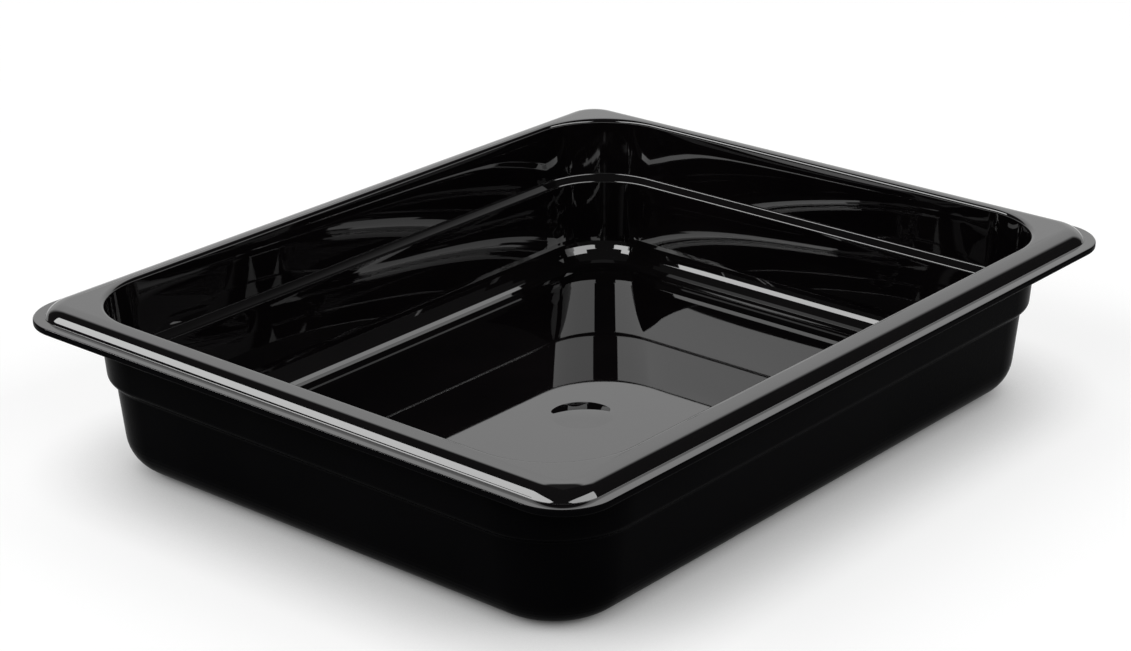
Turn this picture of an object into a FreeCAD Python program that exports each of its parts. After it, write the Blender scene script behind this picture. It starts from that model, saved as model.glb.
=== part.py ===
import FreeCAD, Part
import math
import os
import re
import sys

import Sketcher

# Half-size food pan, one injection moulding in black polycarbonate.
# Millimetres and degrees. The pan stands on z = 0 with its centre on the z axis,
# its short side along x and its long side along y.

doc = FreeCAD.newDocument("FoodPanDocument")

# ---------------------------------------------------------------- driving sizes
pan_sizes = [
    ("outer_width", "265", "lip to lip along x"),
    ("outer_length", "325", "lip to lip along y"),
    ("overall_height", "65", "underside to the crown of the rim"),
    ("lip_corner_radius", "19.5", "outer corner of the lip, seen from above"),
    ("lip_thickness", "2.6", "flat lip round the rim"),
    ("lip_ledge", "4.3", "lip edge to the foot of the crown"),
    ("lip_edge_round", "0.7", "rounding of the lip's upper and lower edge"),
    ("crown_height", "4.75", "crown above the lip"),
    ("crown_round", "9.3", "outer rounding of the crown"),
    ("crown_lean", "32.5", "degrees that the crown's flank leans in"),
    ("crown_foot_round", "0.4", "hollow rounding where the crown meets the lip"),
    ("rim_width", "14.4", "lip edge to the inner wall at the mouth"),
    ("rim_shell", "2.6", "plastic over the channel under the rim"),
    ("channel_outer_share", "0.75", "of the channel's top, taken by its outer rounding"),
    ("mouth_corner_radius", "33", "inner wall's corner at the mouth"),
    ("mouth_round", "1.8", "rounding from the crown into the inner wall"),
    ("wall", "3", "wall, measured level"),
    ("floor_thickness", "3", "floor of the pan"),
    ("upper_lean", "5.2", "degrees, wall above the stacking shoulder"),
    ("lower_lean", "5.6", "degrees, wall below the stacking shoulder"),
    ("shoulder_depth", "24.3", "crown to the upper edge of the inner ledge"),
    ("shoulder_run", "3", "ledge, measured level"),
    ("shoulder_drop", "2.2", "ledge, fall towards the inside"),
    ("shoulder_extra", "1.9", "shoulder, lower outside than the wall alone would put it"),
    ("ledge_round", "1.2", "roundings of the ledge inside"),
    ("shoulder_round", "3", "rounding of the shoulder outside"),
    ("well_round", "12", "inner rounding from the wall to the floor"),
    ("gate_diameter", "25", "domed gate pad in the middle of the floor"),
    ("gate_rise", "0.75", "gate pad above the floor"),
]
aliases = [alias for alias, _, _ in pan_sizes]

sizes = doc.addObject("Spreadsheet::Sheet", "Sizes")
for row, (alias, value, note) in enumerate(pan_sizes, start=1):
    sizes.set(f"A{row}", note)
    sizes.set(f"B{row}", value)
    sizes.setAlias(f"B{row}", alias)
doc.recompute()


def bound(expression):
    """The expression with each size's name pointing into the sheet."""
    return re.sub(r"\b(" + "|".join(aliases) + r")\b", r"Sizes.\1", expression)


def number(expression):
    """The value that an expression in sizes has now."""
    result = sizes.evalExpression(bound(expression))
    return float(getattr(result, "Value", result))


# ------------------------------------------------------------ heights and insets
# An inset is measured level, inwards from the lip's outer edge, and is the same on
# all four sides. The wall's corners all turn about one upright line, so a corner's
# radius is wall_corner less the inset; the lip and the crown turn about another.
rim_top = "overall_height"
lip_top = "(overall_height - crown_height)"
lip_under = "(overall_height - crown_height - lip_thickness)"
channel_top = "(overall_height - rim_shell)"

ledge_top = "(overall_height - shoulder_depth)"
ledge_foot = "(overall_height - shoulder_depth - shoulder_drop)"
# A wall of one thickness would put the outside slope of the shoulder this much lower
# than the inside one. The shoulder is a little thicker than that.
under_wall = (
    "(wall * (sqrt(1 + pow(shoulder_drop / shoulder_run; 2)) - shoulder_drop / shoulder_run))"
)
under_ledge = f"({under_wall} + shoulder_extra)"
shoulder_top = f"({ledge_top} - {under_ledge})"
shoulder_foot = f"({ledge_foot} - {under_ledge})"

ledge_outside = "(rim_width + shoulder_depth * tan(upper_lean * 1 deg))"
ledge_inside = f"({ledge_outside} + shoulder_run)"
wall_corner = "(rim_width + mouth_corner_radius)"

crown_foot = "lip_ledge"
channel_side = "(lip_ledge + rim_shell / cos(crown_lean * 1 deg) - lip_thickness * tan(crown_lean * 1 deg))"

# ------------------------------------------------------------------ the one body
pan = doc.addObject("PartDesign::Body", "FoodPan")
pan.Label = "food_pan"
pan.Placement = FreeCAD.Placement()


def origin_plane(role):
    return next(f for f in pan.Origin.OriginFeatures if f.Role == role)


def outline(name, height, inset, corner):
    """Level sketch of a rounded rectangle, inset from the lip's edge."""
    sketch = pan.newObject("Sketcher::SketchObject", name)
    sketch.AttachmentSupport = [(origin_plane("XY_Plane"), "")]
    sketch.MapMode = "FlatFace"
    sketch.setExpression("AttachmentOffset.Base.z", bound(height))

    width = f"(outer_width - 2 * {inset})"
    length = f"(outer_length - 2 * {inset})"
    radius = f"({corner} - {inset})"
    x, y, r = number(width) / 2, number(length) / 2, number(radius)
    up = FreeCAD.Vector(0, 0, 1)
    corners = [(1, -1, 270), (1, 1, 0), (-1, 1, 90), (-1, -1, 180)]
    sides = [
        ((-x + r, -y), (x - r, -y)),
        ((x, -y + r), (x, y - r)),
        ((x - r, y), (-x + r, y)),
        ((-x, y - r), (-x, -y + r)),
    ]
    for start, end in sides:
        sketch.addGeometry(Part.LineSegment(FreeCAD.Vector(*start), FreeCAD.Vector(*end)))
    for right, back, angle in corners:
        centre = FreeCAD.Vector(right * (x - r), back * (y - r), 0)
        circle = Part.Circle(centre, up, r)
        sketch.addGeometry(
            Part.ArcOfCircle(circle, math.radians(angle), math.radians(angle + 90))
        )
    for side in range(4):
        arc = 4 + side
        following = (side + 1) % 4
        sketch.addConstraint(Sketcher.Constraint("Tangent", side, 2, arc, 1))
        sketch.addConstraint(Sketcher.Constraint("Tangent", arc, 2, following, 1))
        level = "Horizontal" if side % 2 == 0 else "Vertical"
        sketch.addConstraint(Sketcher.Constraint(level, side))
        if arc > 4:
            sketch.addConstraint(Sketcher.Constraint("Equal", 4, arc))
    sketch.addConstraint(Sketcher.Constraint("Symmetric", 4, 3, 6, 3, -1, 1))

    def dimension(label, constraint, expression):
        index = sketch.addConstraint(constraint)
        sketch.renameConstraint(index, label)
        sketch.setExpression("Constraints." + label, bound(expression))

    dimension("width", Sketcher.Constraint("DistanceX", 3, 1, 1, 1, 2 * x), width)
    dimension("length", Sketcher.Constraint("DistanceY", 0, 1, 2, 1, 2 * y), length)
    dimension("corner", Sketcher.Constraint("Radius", 4, r), radius)
    return sketch


def block(name, kind, section, height, lean, upwards):
    """Pad or pocket of a section, its sides leaning in by so many degrees."""
    feature = pan.newObject(kind, name)
    feature.Profile = section
    feature.setExpression("Length", bound(height))
    feature.setExpression("TaperAngle", bound(lean))
    pocket = kind == "PartDesign::Pocket"
    feature.Reversed = upwards if pocket else not upwards
    before = volume()
    pan.Tip = feature
    doc.recompute()
    changed = volume() - before
    if changed * (-1 if pocket else 1) <= 0:
        sys.exit(f"{name} changes nothing")
    return feature


def pad(name, section, height, lean="0", upwards=True):
    return block(name, "PartDesign::Pad", section, height, lean, upwards)


def pocket(name, section, depth, lean="0", upwards=False):
    return block(name, "PartDesign::Pocket", section, depth, lean, upwards)


def volume():
    return 0.0 if pan.Shape.isNull() else pan.Shape.Volume


def loop(height, inset):
    """Names of the body's level edges at a height that run round at an inset."""
    z = number(height)
    x = number("outer_width") / 2 - number(inset)
    y = number("outer_length") / 2 - number(inset)
    near = 0.01

    def on_loop(vertex):
        level = abs(vertex.Z - z) < near
        on_side = abs(abs(vertex.X) - x) < near and abs(vertex.Y) < y + near
        on_end = abs(abs(vertex.Y) - y) < near and abs(vertex.X) < x + near
        return level and (on_side or on_end)

    names = [
        f"Edge{index}"
        for index, edge in enumerate(pan.Shape.Edges, start=1)
        if all(on_loop(vertex) for vertex in edge.Vertexes)
    ]
    if not names:
        sys.exit(f"no edges at height {z:.3f}, inset {number(inset):.3f}")
    return names


def fillet(name, radius, *loops):
    """Rounds whole loops of edges, each given by its height and inset."""
    base = pan.Tip
    edges = [edge for height, inset in loops for edge in loop(height, inset)]
    feature = pan.newObject("PartDesign::Fillet", name)
    feature.Base = (base, edges)
    feature.setExpression("Radius", bound(radius))
    pan.Tip = feature
    doc.recompute()
    return feature


# ------------------------------------------------------------------- lip and crown
# A flat lip runs round the rim. Inside it the crown rises as a leaning flank with
# a large rounding, so that the rim is highest beside the mouth.
pad("Lip", outline("LipOutline", lip_under, "0", "lip_corner_radius"), "lip_thickness")
pad(
    "Crown",
    outline("CrownOutline", lip_top, crown_foot, "lip_corner_radius"),
    "crown_height",
    "-crown_lean",
)
crown_edge = "(lip_ledge + crown_height * tan(crown_lean * 1 deg))"
fillet("CrownRound", "crown_round", (rim_top, crown_edge))
fillet("CrownFootRound", "crown_foot_round", (lip_top, crown_foot))
fillet("LipEdgeRound", "lip_edge_round", (lip_top, "0"), (lip_under, "0"))

# Under the crown the rim is hollow, so the plastic there stays near one thickness.
pocket(
    "RimChannel",
    outline("ChannelOutline", lip_under, channel_side, "lip_corner_radius"),
    f"({channel_top} - {lip_under})",
    "-crown_lean",
    upwards=True,
)

# ------------------------------------------------------------- outside of the wall
# From the floor up: the lower wall leans out to the shoulder, the shoulder steps
# out, and the upper wall leans out into the rim.
shoulder_inset = f"({ledge_inside} - wall)"
base_inset = f"({shoulder_inset} + {shoulder_foot} * tan(lower_lean * 1 deg))"
pad(
    "LowerWall",
    outline("LowerWallOutline", "0", base_inset, wall_corner),
    shoulder_foot,
    "lower_lean",
)
pad(
    "Shoulder",
    outline("ShoulderOutline", shoulder_foot, shoulder_inset, wall_corner),
    f"({shoulder_top} - {shoulder_foot})",
    "atan(shoulder_run / shoulder_drop)",
)
upper_inset = f"({ledge_outside} - wall)"
pad(
    "UpperWall",
    outline("UpperWallOutline", shoulder_top, upper_inset, wall_corner),
    f"({channel_top} - {shoulder_top})",
    "upper_lean",
)
fillet("ShoulderRound", "shoulder_round", (shoulder_top, upper_inset))
fillet("ShoulderFootRound", "ledge_round", (shoulder_foot, shoulder_inset))

# The channel's level top lies between its outer flank and the wall. Most of it goes
# into the outer rounding.
channel_outer = f"({channel_side} + ({channel_top} - {lip_under}) * tan(crown_lean * 1 deg))"
channel_inner = f"({upper_inset} - ({channel_top} - {shoulder_top}) * tan(upper_lean * 1 deg))"
channel_width = f"({channel_inner} - {channel_outer})"
# A rounding reaches along each face by its radius over the tangent of half the corner.
half_corner = "(45 deg - crown_lean * 0.5 deg)"
channel_round = f"(channel_outer_share * {channel_width} / tan{half_corner})"
fillet("ChannelRound", channel_round, (channel_top, channel_outer))

# ------------------------------------------------------------------------- inside
# The mouth narrows to the ledge that another pan stands on, and then to the floor.
floor_inset = f"({ledge_inside} + ({ledge_foot} - floor_thickness) * tan(lower_lean * 1 deg))"
pocket(
    "Mouth",
    outline("MouthOutline", rim_top, "rim_width", wall_corner),
    "shoulder_depth",
    "-upper_lean",
)
pocket(
    "Ledge",
    outline("LedgeOutline", ledge_top, ledge_outside, wall_corner),
    "shoulder_drop",
    "-atan(shoulder_run / shoulder_drop)",
)
pocket(
    "Well",
    outline("WellOutline", ledge_foot, ledge_inside, wall_corner),
    f"({ledge_foot} - floor_thickness)",
    "-lower_lean",
)
fillet("WellRound", "well_round", ("floor_thickness", floor_inset))
# Outside, the foot follows the same curve one wall further out.
fillet("FootRound", "(well_round + wall)", ("0", base_inset))
fillet("LedgeRound", "ledge_round", (ledge_top, ledge_outside), (ledge_foot, ledge_inside))
fillet("MouthRound", "mouth_round", (rim_top, "rim_width"))

# ------------------------------------------------------------------------ gate pad
# The plastic enters at the middle of the floor. There the floor bulges up as a
# shallow dome, and its underside follows, as a dish of the same curve.


def dome_profile(name, height, depth):
    """Half section of the dome above a height, closed by a stem that deep."""
    sketch = pan.newObject("Sketcher::SketchObject", name)
    sketch.AttachmentSupport = [(origin_plane("XZ_Plane"), "")]
    sketch.MapMode = "FlatFace"
    z, r = number(height), number("gate_diameter") / 2
    rise, stem = number("gate_rise"), number(depth)
    radius = (r * r + rise * rise) / (2 * rise)
    half_angle = math.asin(r / radius)
    centre = FreeCAD.Vector(0, z + rise - radius, 0)
    arc = Part.ArcOfCircle(
        Part.Circle(centre, FreeCAD.Vector(0, 0, 1), radius),
        math.pi / 2 - half_angle,
        math.pi / 2,
    )
    points = [(0, z + rise), (0, z - stem), (r, z - stem), (r, z)]
    for start, end in zip(points, points[1:]):
        sketch.addGeometry(
            Part.LineSegment(FreeCAD.Vector(*start), FreeCAD.Vector(*end))
        )
    sketch.addGeometry(arc)
    for constraint in (
        Sketcher.Constraint("Coincident", 0, 2, 1, 1),
        Sketcher.Constraint("Coincident", 1, 2, 2, 1),
        Sketcher.Constraint("Coincident", 2, 2, 3, 1),
        Sketcher.Constraint("Coincident", 3, 2, 0, 1),
        Sketcher.Constraint("PointOnObject", 0, 1, -2),
        Sketcher.Constraint("PointOnObject", 0, 2, -2),
        Sketcher.Constraint("PointOnObject", 3, 3, -2),
        Sketcher.Constraint("Horizontal", 1),
        Sketcher.Constraint("Vertical", 2),
    ):
        sketch.addConstraint(constraint)
    for label, constraint, expression in (
        ("radius", Sketcher.Constraint("DistanceX", 1, 1, 1, 2, r), "gate_diameter / 2"),
        ("stem", Sketcher.Constraint("DistanceY", 2, 1, 2, 2, stem), depth),
        ("rise", Sketcher.Constraint("DistanceY", 2, 2, 0, 1, rise), "gate_rise"),
        ("edge", Sketcher.Constraint("DistanceY", -1, 1, 2, 2, z), height),
    ):
        index = sketch.addConstraint(constraint)
        sketch.renameConstraint(index, label)
        sketch.setExpression("Constraints." + label, bound(expression))
    return sketch


def turned(name, kind, profile):
    """The profile turned once round the z axis."""
    feature = pan.newObject(kind, name)
    feature.Profile = profile
    feature.ReferenceAxis = (profile, ["V_Axis"])
    feature.Angle = 360
    before = volume()
    pan.Tip = feature
    doc.recompute()
    if volume() == before:
        sys.exit(f"{name} changes nothing")
    return feature


turned(
    "GatePad",
    "PartDesign::Revolution",
    dome_profile("GatePadProfile", "floor_thickness", "floor_thickness / 2"),
)
turned(
    "GateDish",
    "PartDesign::Groove",
    dome_profile("GateDishProfile", "0", "floor_thickness / 2"),
)

# -------------------------------------------------------------------------- output
doc.recompute()
for feature in doc.Objects:
    if "Invalid" in feature.State or "Error" in feature.State:
        sys.exit(f"{feature.Name} failed: {feature.State}")
if pan.Shape.isNull() or not pan.Shape.isValid() or len(pan.Shape.Solids) != 1:
    sys.exit("the pan is not one valid solid")

os.makedirs("parts", exist_ok=True)
pan.Shape.exportStep(f"parts/{pan.Label}.step")
print(pan.Label, "volume", round(pan.Shape.Volume), "mm3, faces", len(pan.Shape.Faces))
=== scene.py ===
import math

import bpy
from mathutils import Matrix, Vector


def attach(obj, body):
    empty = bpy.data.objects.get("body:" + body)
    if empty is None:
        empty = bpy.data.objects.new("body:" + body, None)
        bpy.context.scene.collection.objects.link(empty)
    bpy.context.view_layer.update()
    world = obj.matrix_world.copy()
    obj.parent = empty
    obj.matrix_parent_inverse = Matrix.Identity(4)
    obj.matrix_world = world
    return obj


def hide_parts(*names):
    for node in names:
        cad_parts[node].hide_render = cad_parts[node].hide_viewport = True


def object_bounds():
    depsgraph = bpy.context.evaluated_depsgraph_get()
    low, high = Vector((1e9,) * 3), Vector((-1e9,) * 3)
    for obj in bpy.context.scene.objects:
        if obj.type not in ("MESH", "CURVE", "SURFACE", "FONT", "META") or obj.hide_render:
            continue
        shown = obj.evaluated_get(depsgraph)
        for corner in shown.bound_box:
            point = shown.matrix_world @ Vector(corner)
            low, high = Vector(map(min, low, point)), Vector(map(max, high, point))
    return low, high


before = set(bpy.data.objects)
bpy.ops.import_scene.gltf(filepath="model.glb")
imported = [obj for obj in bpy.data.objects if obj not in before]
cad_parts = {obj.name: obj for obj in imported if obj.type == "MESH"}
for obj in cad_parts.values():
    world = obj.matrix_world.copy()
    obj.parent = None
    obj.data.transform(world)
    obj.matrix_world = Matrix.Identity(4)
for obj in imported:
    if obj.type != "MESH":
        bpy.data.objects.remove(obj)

cadLow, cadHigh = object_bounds()
print("frame loaded, CAD box", [round(v, 4) for v in cadLow], [round(v, 4) for v in cadHigh])

mm = 0.001
halfWidth = cadHigh.x / mm
halfLength = cadHigh.y / mm
fullHeight = cadHigh.z / mm


# shader helper
class Wire:
    def __init__(self, finish, socket):
        self.finish = finish
        self.socket = socket

    def math(self, operation, first, second=None, third=None):
        return self.finish.add("ShaderNodeMath", {"operation": operation}, {0: first, 1: second, 2: third})

    def __add__(self, other):
        return self.math("ADD", self, other)

    def __radd__(self, other):
        return self.math("ADD", other, self)

    def __sub__(self, other):
        return self.math("SUBTRACT", self, other)

    def __rsub__(self, other):
        return self.math("SUBTRACT", other, self)

    def __mul__(self, other):
        return self.math("MULTIPLY", self, other)

    def __rmul__(self, other):
        return self.math("MULTIPLY", other, self)

    def __truediv__(self, other):
        return self.math("DIVIDE", self, other)

    def __rtruediv__(self, other):
        return self.math("DIVIDE", other, self)

    def step(self, low, high):  # 0 below low, 1 above high, smooth between
        return self.finish.add("ShaderNodeMapRange", {"interpolation_type": "SMOOTHSTEP"},
                               {"Value": self, "From Min": low, "From Max": high})

    def output(self, name):  # another output of the same node
        return Wire(self.finish, self.socket.node.outputs[name])


class Finish:
    def __init__(self, owner):
        owner.use_nodes = True
        self.tree = owner.node_tree
        self.tree.nodes.clear()

    def add(self, kind, settings=None, values=None, out=0):
        node = self.tree.nodes.new(kind)
        for name, value in (settings or {}).items():
            if name == "stops":
                self.setStops(node.color_ramp, value)
            else:
                setattr(node, name, value)
        for name, value in (values or {}).items():
            if isinstance(value, Wire):
                self.tree.links.new(value.socket, node.inputs[name])
            elif value is not None:
                node.inputs[name].default_value = value
        return Wire(self, node.outputs[out]) if len(node.outputs) else node

    def setStops(self, ramp, stops):  # each stop is (place, grey level)
        while len(ramp.elements) > 1:
            ramp.elements.remove(ramp.elements[-1])
        for index, (place, level) in enumerate(stops):
            stop = ramp.elements[0] if index == 0 else ramp.elements.new(place)
            stop.position = place
            stop.color = (level, level, level, 1)

    def mix(self, factor, first, second):
        return self.add("ShaderNodeMix", {"data_type": "RGBA"}, {0: factor, 6: first, 7: second}, 2)

    def noise(self, place, scale, detail, roughness):
        return self.add("ShaderNodeTexNoise", None,
                        {"Vector": place, "Scale": scale, "Detail": detail, "Roughness": roughness})


# camera, solved from the photograph's rim, corners and base
view = {
    "place": Vector((0.6192505, -0.7323336, 0.4263353)),
    "aim": Vector((-0.0179798, 0.0118116, 0.0315)),
    "roll": -0.5127,         # degrees, the photograph leans a little
    "lens": 87.495,
    "sensorWidth": 36,
    "clipStart": 0.01,
    "clipEnd": 60,
}


def makeCamera():
    lens = bpy.data.cameras.new("studioCamera")
    lens.lens = view["lens"]
    lens.sensor_width = view["sensorWidth"]
    lens.sensor_fit = "HORIZONTAL"
    lens.clip_start = view["clipStart"]
    lens.clip_end = view["clipEnd"]
    camera = bpy.data.objects.new("studioCamera", lens)
    bpy.context.scene.collection.objects.link(camera)
    turn = (view["aim"] - view["place"]).to_track_quat("-Z", "Y").to_matrix().to_4x4()
    turn.translation = view["place"]
    camera.matrix_world = turn
    camera.rotation_euler.rotate_axis("Z", math.radians(view["roll"]))
    bpy.context.scene.camera = camera


makeCamera()
print("camera placed")


# light
studio = {
    "backdropCentre": 126,   # degrees from +X towards +Y
    "backdropHalf": 44,
    "backdropEdge": 6,
    "roomLevel": 0.04,
    # brightness of the lit backdrop by height above the horizon, in degrees
    "backdropLevels": [(0, 0.90), (22, 1.00), (30, 1.15), (37, 1.35), (44, 1.55), (51, 1.75), (57, 1.75),
                       (63, 0.05)],
}

softboxes = {  # angles in degrees, level is the brightness of the cloth
    "leftSoftbox": {"azimuth": -116, "height": 38, "across": 66, "tall": 19, "distance": 6.0, "level": 5.3},
    "rightSoftbox": {"azimuth": 4, "height": 37, "across": 60, "tall": 22, "distance": 6.0, "level": 3.8},
}


def makeRoom():
    world = bpy.data.worlds.new("studioRoom")
    bpy.context.scene.world = world
    room = Finish(world)
    direction = room.add("ShaderNodeTexCoord", None, None, "Generated")
    x = room.add("ShaderNodeSeparateXYZ", None, {0: direction}, "X")
    y = x.output("Y")
    z = x.output("Z")
    height = x.math("ARCSINE", z) * (180 / math.pi)
    azimuth = x.math("ARCTAN2", y, x) * (180 / math.pi)
    turned = x.math("WRAP", azimuth - studio["backdropCentre"], 180, -180)
    away = x.math("ABSOLUTE", turned)
    half, edge = studio["backdropHalf"], studio["backdropEdge"]
    lit = 1 - away.step(half - edge, half + edge)
    brightest = max(level for _, level in studio["backdropLevels"])
    stops = [(place / 90, level / brightest) for place, level in studio["backdropLevels"]]
    ramp = room.add("ShaderNodeValToRGB", {"stops": stops}, {0: height / 90})
    level = lit * ramp * brightest + studio["roomLevel"]
    shine = room.add("ShaderNodeBackground", None, {"Color": (1, 1, 1, 1), "Strength": level})
    room.add("ShaderNodeOutputWorld", None, {0: shine})


def makeSoftboxes():
    for name, box in softboxes.items():
        lamp = bpy.data.lights.new(name, "AREA")
        lamp.shape = "RECTANGLE"
        lamp.size = 2 * box["distance"] * math.tan(math.radians(box["across"] / 2))
        lamp.size_y = 2 * box["distance"] * math.tan(math.radians(box["tall"] / 2))
        lamp.energy = box["level"] * math.pi * lamp.size * lamp.size_y
        holder = bpy.data.objects.new(name, lamp)
        bpy.context.scene.collection.objects.link(holder)
        azimuth, height = math.radians(box["azimuth"]), math.radians(box["height"])
        out = Vector((math.cos(azimuth) * math.cos(height), math.sin(azimuth) * math.cos(height),
                      math.sin(height)))
        turn = (-out).to_track_quat("-Z", "Y").to_matrix().to_4x4()
        turn.translation = out * box["distance"]
        holder.matrix_world = turn
        holder.visible_camera = False


makeRoom()
makeSoftboxes()
print("lights placed")


# floor: a round sheet that turns up at its edge, in metres
floor = {
    "rings": (0.2, 0.5, 1.0, 2.0, 4.0, 6.0, 8.0),   # radii on the flat, the last is where it turns up
    "turnRadius": 1.0,
    "turnSteps": 10,
    "edgeHeight": 1.3,
    "sides": 96,
    "below": 0.0002,         # keeps the sheet clear of the pan's underside
    "colour": (0.36, 0.36, 0.36, 1),
    "glow": 0.70,            # what the pale paper adds for the camera and for reflections, darkened near the pan by ambient occlusion as a painted contact shadow
    # reach and samples of the ambient occlusion that paints the contact shadow into the glow
    "paintedShadowReach": 0.04,
    "paintedShadowSamples": 8,
}


def floorMesh():
    sides, radius = floor["sides"], floor["turnRadius"]
    flat = floor["rings"][-1]
    rings = [(reach, 0.0) for reach in floor["rings"]]
    for k in range(1, floor["turnSteps"] + 1):
        turn = k / floor["turnSteps"] * math.pi / 2
        rings.append((flat + radius * math.sin(turn), radius * (1 - math.cos(turn))))
    rings.append((flat + radius, floor["edgeHeight"]))
    points, faces = [(0, 0, 0)], []
    for reach, height in rings:
        for k in range(sides):
            turn = 2 * math.pi * k / sides
            points.append((reach * math.cos(turn), reach * math.sin(turn), height))
    for k in range(sides):
        faces.append((0, 1 + k, 1 + (k + 1) % sides))
    for ring in range(len(rings) - 1):
        for k in range(sides):
            a, b = 1 + ring * sides + k, 1 + ring * sides + (k + 1) % sides
            faces.append((a, a + sides, b + sides, b))
    mesh = bpy.data.meshes.new("paleFloor")
    mesh.from_pydata(points, [], faces)
    mesh.shade_smooth()
    return mesh


def paperFinish():
    paper = bpy.data.materials.new("palePaper")
    finish = Finish(paper)
    camera = finish.add("ShaderNodeLightPath", None, None, "Is Camera Ray")
    mirrored = camera.math("MAXIMUM", camera.output("Is Glossy Ray"), camera.output("Is Transmission Ray"))
    seen = camera.math("MAXIMUM", camera, mirrored)
    # painted contact shadow: ambient occlusion darkens the floor's glow near the pan
    paintedContactShadow = finish.add("ShaderNodeAmbientOcclusion", {"samples": floor["paintedShadowSamples"]},
                         {"Distance": floor["paintedShadowReach"]}, "AO")
    lit = finish.add("ShaderNodeBsdfDiffuse", None, {"Color": floor["colour"]})
    glow = finish.add("ShaderNodeEmission", None,
                      {"Color": (1, 1, 1, 1), "Strength": seen * paintedContactShadow * floor["glow"]})
    both = finish.add("ShaderNodeAddShader", None, {0: lit, 1: glow})
    finish.add("ShaderNodeOutputMaterial", None, {0: both})
    return paper


def makeFloor():
    mesh = floorMesh()
    mesh.materials.append(paperFinish())
    holder = bpy.data.objects.new("paleFloor", mesh)
    bpy.context.scene.collection.objects.link(holder)
    holder.location.z = -floor["below"]


makeFloor()
print("floor laid")


# pan
pan = {  # lengths in millimetres, leans in degrees; inset is how far inside the lip's outer edge a point lies
    "lipThickness": 2.6,
    "lipLedge": 4.3,
    "lipEdgeRound": 0.7,
    "lipCorner": 19.5,       # the lip's and crown's corners turn about this inset
    "crownHeight": 4.75,
    "crownRound": 9.3,
    "crownLean": 32.5,       # from upright, at the crown's foot
    "crownFootRound": 0.25,
    "rimWidth": 14.4,
    "mouthRound": 1.8,
    "mouthCorner": 33.0,     # radius of the mouth's corners
    "wall": 3.0,
    "floorThickness": 3.0,
    "upperLean": 5.2,
    "lowerLean": 5.6,
    "shoulderDepth": 24.3,
    "shoulderRun": 3.0,
    "shoulderDrop": 2.2,
    "shoulderBelow": 3.42,   # how far the step outside lies below the ledge inside
    "ledgeRound": 1.2,       # the ledge's lower edge
    "ledgeTopRound": 1.08,
    "shoulderRound": 3.0,
    "shoulderLowRound": 1.8,
    "wellRound": 12.0,
    "floorStart": 20.0,      # where the flat floor's rings start, in from its edge
    "channelOuter": 6.0,     # the hollow under the crown
    "channelInner": 10.3,
    "channelDepth": 2.6,     # plastic over the hollow
    "channelLean": 22.0,
    "channelRound": 1.4,
    "channelFootRound": 0.5,
    "channelWallRound": 0.6,
    "gateRadius": 12.5,
    "gateRise": 0.75,
    "gateBorder": 1.02,      # the floor's first ring round the gate pad, as a share of the pad's radius
    # the inner wall sags in a little between the corners, in a strip above the ledge and one below
    "sagDepth": 0.45,
    "sagPower": 0.5,         # below 1 the sag stays near full depth until close to the corners
    "upperSagPeak": 0.75,    # where the sag is deepest, as a share of the strip's height
    "lowerSagPeak": 0.5,
    "rimGap": 1.5,           # the strips end this far from the crown's top, the ledge and the floor
    "ledgeGap": 1.0,
    "floorGap": 10.0,
    # how finely the mesh is divided
    "cornerSteps": 26,
    "sideSteps": 14,
    "sideEnd": 0.5,          # first and last point of a straight side
    "gateSteps": 8,
    "floorSteps": 14,
    "longRun": 0.8,          # runs above this length get points close to both ends
    "runEnd": 0.12,
    "insideStep": 2.0,
    "outsideStep": 2.5,
    "underStep": 4.0,
}

topZ = fullHeight
lipTopZ = topZ - pan["crownHeight"]
ledgeZ = topZ - pan["shoulderDepth"]
wellZ = ledgeZ - pan["shoulderDrop"]
floorZ = pan["floorThickness"]
wallCentre = pan["rimWidth"] + pan["mouthCorner"]


def tangent(degrees):
    return math.tan(math.radians(degrees))


def rounded(corners):  # each corner is (inset, height, radius, centre, steps)
    path = []
    count = len(corners)
    for index, (inset, height, radius, centre, steps) in enumerate(corners):
        here = Vector((inset, height))
        if radius == 0 or index in (0, count - 1):
            path.append((inset, height, centre))
            continue
        before = (Vector(corners[index - 1][:2]) - here).normalized()
        after = (Vector(corners[index + 1][:2]) - here).normalized()
        half = before.angle(after) / 2
        reach = radius / math.tan(half)
        middle = here + (before + after).normalized() * (radius / math.sin(half))
        start = here + before * reach - middle
        end = here + after * reach - middle
        swing = start.angle_signed(end)
        for k in range(steps + 1):
            turn = -swing * k / steps
            spot = Vector((start.x * math.cos(turn) - start.y * math.sin(turn),
                           start.x * math.sin(turn) + start.y * math.cos(turn))) + middle
            path.append((spot.x, spot.y, centre))
    return path


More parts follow.
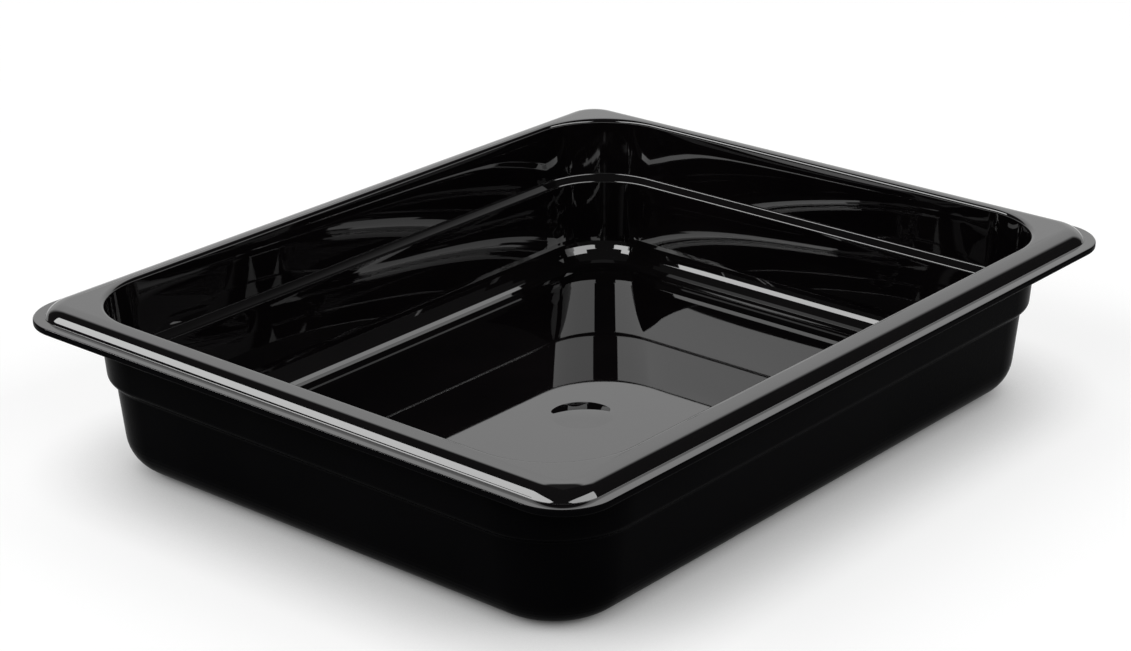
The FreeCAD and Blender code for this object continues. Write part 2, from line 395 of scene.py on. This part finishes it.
def sectionPath():  # from the inside floor up over the rim and down to the underside
    mouth, wall = pan["rimWidth"], pan["wall"]
    lipCentre = pan["lipCorner"]
    lipUnderZ = lipTopZ - pan["lipThickness"]
    channelZ = topZ - pan["channelDepth"]
    ledgeIn = mouth + pan["shoulderDepth"] * tangent(pan["upperLean"])
    wellIn = ledgeIn + pan["shoulderRun"]
    floorIn = wellIn + (wellZ - floorZ) * tangent(pan["lowerLean"])
    inside = [
        (floorIn + pan["floorStart"], floorZ, 0, wallCentre, 0),
        (floorIn, floorZ, pan["wellRound"], wallCentre, 10),
        (wellIn, wellZ, pan["ledgeRound"], wallCentre, 4),
        (ledgeIn, ledgeZ, pan["ledgeTopRound"], wallCentre, 4),
        (mouth, topZ, pan["mouthRound"], wallCentre, 8),
        (mouth - pan["mouthRound"], topZ, 0, wallCentre, 0),
    ]
    crownIn = pan["lipLedge"] + pan["crownHeight"] * tangent(pan["crownLean"])
    channelIn = pan["channelOuter"] + (channelZ - lipUnderZ) * tangent(pan["channelLean"])
    outside = [
        (mouth - pan["mouthRound"], topZ, 0, lipCentre, 0),
        (crownIn, topZ, pan["crownRound"], lipCentre, 16),
        (pan["lipLedge"], lipTopZ, pan["crownFootRound"], lipCentre, 4),
        (0.0, lipTopZ, pan["lipEdgeRound"], lipCentre, 4),
        (0.0, lipUnderZ, pan["lipEdgeRound"], lipCentre, 4),
        (pan["channelOuter"], lipUnderZ, pan["channelFootRound"], lipCentre, 2),
        (channelIn, channelZ, pan["channelRound"], lipCentre, 4),
        (pan["channelInner"], channelZ, 0, lipCentre, 0),
    ]
    wallTopIn = mouth - wall + (topZ - channelZ) * tangent(pan["upperLean"])
    stepZ = ledgeZ - pan["shoulderBelow"]
    lowZ = wellZ - pan["shoulderBelow"]
    lowIn = wellIn - wall
    footIn = lowIn + lowZ * tangent(pan["lowerLean"])
    under = [
        (pan["channelInner"], channelZ, 0, wallCentre, 0),
        (wallTopIn, channelZ, pan["channelWallRound"], wallCentre, 3),
        (ledgeIn - wall, stepZ, pan["shoulderRound"], wallCentre, 5),
        (lowIn, lowZ, pan["shoulderLowRound"], wallCentre, 5),
        (footIn, 0.0, pan["wellRound"] + wall, wallCentre, 12),
        (footIn + pan["floorStart"], 0.0, 0, wallCentre, 0),
    ]
    return rounded(inside), rounded(outside), rounded(under)


def spread(path, longest):  # adds points on the long straight runs, close to their ends first
    made = [path[0]]
    for before, after in zip(path, path[1:]):
        gap = math.dist(before[:2], after[:2])
        shares = []
        if gap > pan["longRun"] and before[2] == after[2]:
            edge = pan["runEnd"] / gap
            count = int(gap / longest)
            shares = [edge] + [k / (count + 1) for k in range(1, count + 1)] + [1 - edge]
        for share in shares:
            made.append(tuple(a + (b - a) * share for a, b in zip(before, after)))
        made.append(after)
    return made


def ringAt(inset, height, centre, sink=0.0):  # one closed loop round the pan, in metres
    loop = []
    radius = centre - inset
    wide = halfWidth - centre
    long = halfLength - centre
    cornerSteps, sideSteps = pan["cornerSteps"], pan["sideSteps"]
    middles = [(wide, long), (-wide, long), (-wide, -long), (wide, -long)]
    for quarter, (cx, cy) in enumerate(middles):
        for k in range(cornerSteps + 1):
            turn = math.radians(90 * (quarter + k / cornerSteps))
            x, y = cx + radius * math.cos(turn), cy + radius * math.sin(turn)
            loop.append((x * mm, y * mm, height * mm))
        nextX, nextY = middles[(quarter + 1) % 4]
        turn = math.radians(90 * (quarter + 1))
        outwards = Vector((math.cos(turn), math.sin(turn)))
        end = Vector((cx, cy)) + radius * outwards
        start = Vector((nextX, nextY)) + radius * outwards
        edge = pan["sideEnd"] / (start - end).length
        shares = [edge] + [k / (sideSteps + 1) for k in range(1, sideSteps + 1)] + [1 - edge]
        for share in shares:
            spot = end.lerp(start, share) - outwards * sink * (4 * share * (1 - share)) ** pan["sagPower"]
            loop.append((spot.x * mm, spot.y * mm, height * mm))
    return loop


def sinkAt(height):  # how deep the inner wall sags halfway along a side
    strips = [(ledgeZ - pan["ledgeGap"], topZ - pan["rimGap"], pan["upperSagPeak"]),
              (floorZ + pan["floorGap"], wellZ - pan["ledgeGap"], pan["lowerSagPeak"])]
    for low, high, peak in strips:
        share = (height - low) / (high - low)
        if 0 < share < 1:
            reach = (peak - share) / peak if share < peak else (share - peak) / (1 - peak)
            return pan["sagDepth"] * (1 - reach ** 2)
    return 0.0


def toDisc(loop, radius, height, share):  # between the loop and a circle of that radius
    made = []
    for x, y, z in loop:
        turn = math.atan2(y, x)
        made.append((x + (radius * math.cos(turn) - x) * share, y + (radius * math.sin(turn) - y) * share,
                     z + (height - z) * share))
    return made


def gateRing(loop, k, base):  # ring k of the domed gate pad, counted from its middle
    share = k / pan["gateSteps"]
    return toDisc(loop, pan["gateRadius"] * share * mm, (base + pan["gateRise"] * (1 - share ** 2)) * mm, 1.0)


def panRings():
    inside, outside, under = sectionPath()
    # inside: gate pad, floor, wall
    gateSteps, floorSteps = pan["gateSteps"], pan["floorSteps"]
    floorLoop = ringAt(*inside[0])
    border = pan["gateRadius"] * pan["gateBorder"] * mm
    rings = [gateRing(floorLoop, k, floorZ) for k in range(1, gateSteps + 1)]
    rings += [toDisc(floorLoop, border, floorZ * mm, k / floorSteps) for k in range(floorSteps, -1, -1)]
    rings += [ringAt(*spot, sinkAt(spot[1])) for spot in spread(inside, pan["insideStep"])[1:]]
    # rim and outside; the gloss ends on the lip's edge
    crown = spread(outside, pan["outsideStep"])
    lipEdgeZ = lipTopZ - pan["lipEdgeRound"] / 3
    glossyRings = len(rings) + next(k for k, spot in enumerate(crown) if spot[1] < lipEdgeZ)
    rings += [ringAt(*spot) for spot in crown]
    rings += [ringAt(*spot) for spot in spread(under, pan["underStep"])]
    # underside: floor, gate dish
    lowLoop = ringAt(*under[-1])
    gate = pan["gateRadius"] * mm
    rings += [toDisc(lowLoop, gate, 0.0, k / gateSteps) for k in range(1, gateSteps + 1)]
    rings += [gateRing(lowLoop, k, 0.0) for k in range(gateSteps - 1, 0, -1)]
    return rings, glossyRings


def meshFromRings(name, rings, tipLow, tipHigh):
    count = len(rings[0])
    points = [spot for ring in rings for spot in ring] + [tipLow, tipHigh]
    faces = []
    first, last = len(points) - 2, len(points) - 1
    for k in range(count):
        faces.append((first, k, (k + 1) % count))
    for ring in range(len(rings) - 1):
        a = ring * count
        for k in range(count):
            b = (k + 1) % count
            faces.append((a + k, a + count + k, a + count + b, a + b))
    a = (len(rings) - 1) * count
    for k in range(count):
        faces.append((last, a + (k + 1) % count, a + k))
    mesh = bpy.data.meshes.new(name)
    mesh.from_pydata(points, [], faces)
    mesh.validate()
    mesh.update()
    return mesh


# finishes; noise is (scale, detail, roughness), and clouds are mapped from low to high
gloss = {
    "dark": (0.0018, 0.0014, 0.0017, 1),
    "light": (0.0030, 0.0023, 0.0026, 1),
    "roughness": (0.012, 0.03),
    "ior": 1.585,
    "specular": 0.79,
    "cloudNoise": (18, 3, 0.55),
    "fineNoise": (420, 2, 0.5),
    "colourClouds": (0.35, 0.7),
    "roughClouds": (0.3, 0.75),
    "cloudBump": 0.7,
    "fineBump": 0.02,
    "bumpStrength": 0.012,
    "bumpDistance": 0.001,
}

satin = {
    "dark": (0.0014, 0.0014, 0.0017, 1),
    "light": (0.0024, 0.0023, 0.0027, 1),
    "roughness": (0.20, 0.30),
    "ior": 1.585,
    "specular": 0.0035,
    "cloudNoise": (14, 3, 0.5),
    "fineNoise": (900, 3, 0.6),
    "colourClouds": (0.3, 0.7),
    "roughClouds": (0.3, 0.7),
    "cloudBump": 0.0,
    "fineBump": 1.0,
    "bumpStrength": 0.05,
    "bumpDistance": 0.0004,
}


def plasticFinish(name, look):
    material = bpy.data.materials.new(name)
    finish = Finish(material)
    place = finish.add("ShaderNodeTexCoord", None, None, "Object")
    cloud = finish.noise(place, *look["cloudNoise"])
    fine = finish.noise(place, *look["fineNoise"])
    colour = finish.mix(cloud.step(*look["colourClouds"]), look["dark"], look["light"])
    low, high = look["roughness"]
    roughness = low + (high - low) * cloud.step(*look["roughClouds"])
    grain = cloud * look["cloudBump"] + fine * look["fineBump"]
    bump = finish.add("ShaderNodeBump", None,
                      {"Strength": look["bumpStrength"], "Distance": look["bumpDistance"], "Height": grain})
    shader = finish.add("ShaderNodeBsdfPrincipled", None,
                        {"Base Color": colour, "Roughness": roughness, "IOR": look["ior"],
                         "Specular IOR Level": look["specular"], "Normal": bump})
    finish.add("ShaderNodeOutputMaterial", None, {0: shader})
    return material


def makePan():
    rings, glossyRings = panRings()
    padTop = (0, 0, (floorZ + pan["gateRise"]) * mm)
    dishTop = (0, 0, pan["gateRise"] * mm)
    mesh = meshFromRings("foodPan", rings, padTop, dishTop)
    mesh.shade_smooth()
    mesh.materials.append(plasticFinish("glossBlack", gloss))
    mesh.materials.append(plasticFinish("satinBlack", satin))
    firstSatin = len(rings[0]) * glossyRings
    for face in mesh.polygons:
        face.material_index = 1 if face.index >= firstSatin else 0
    foodPan = bpy.data.objects.new("foodPan", mesh)
    bpy.context.scene.collection.objects.link(foodPan)
    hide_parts("food_pan")
    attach(foodPan, "root")
    print("pan lofted and finished,", len(mesh.polygons), "faces")


makePan()

bpy.context.scene.view_settings.view_transform = "Standard"
